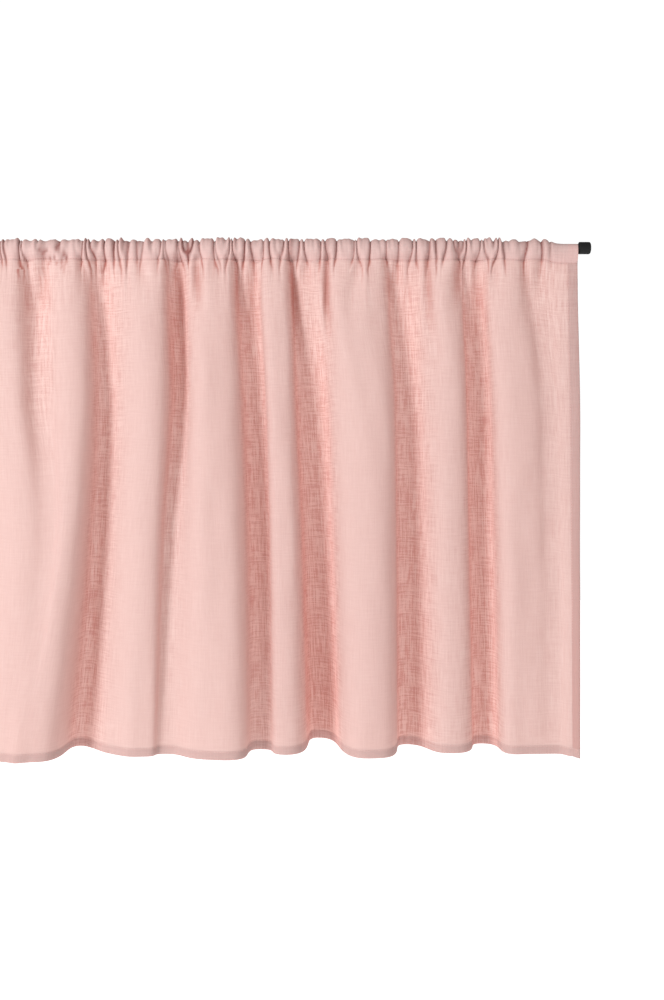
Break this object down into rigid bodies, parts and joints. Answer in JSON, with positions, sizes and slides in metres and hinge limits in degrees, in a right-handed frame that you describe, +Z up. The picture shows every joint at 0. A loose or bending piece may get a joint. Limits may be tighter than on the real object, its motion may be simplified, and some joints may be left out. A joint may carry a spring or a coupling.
{
  "type": "cafe curtain on a rod",
  "caption": "Sheer linen cafe curtain, gathered by its rod pocket on a slim black rod with capped ends, hanging in soft uneven folds.",
  "frame": {"origin": "on the rod's axis, half way along the rod", "axes": "+X along the rod, to the right as seen from the room; the cloth's front faces -Y; +Z up"},
  "size_m": [0.9908, 0.0894, 0.5955],
  "materials": {
    "linen": "sheer open plain weave with slubs, pink",
    "rod_metal": "matte black",
    "cap": "matte black"
  },
  "bodies": {
    "root": {"curtain": "linen", "rod": "rod_metal", "rod_cap_left": "cap", "rod_cap_right": "cap"}
  },
  "joints": []
}
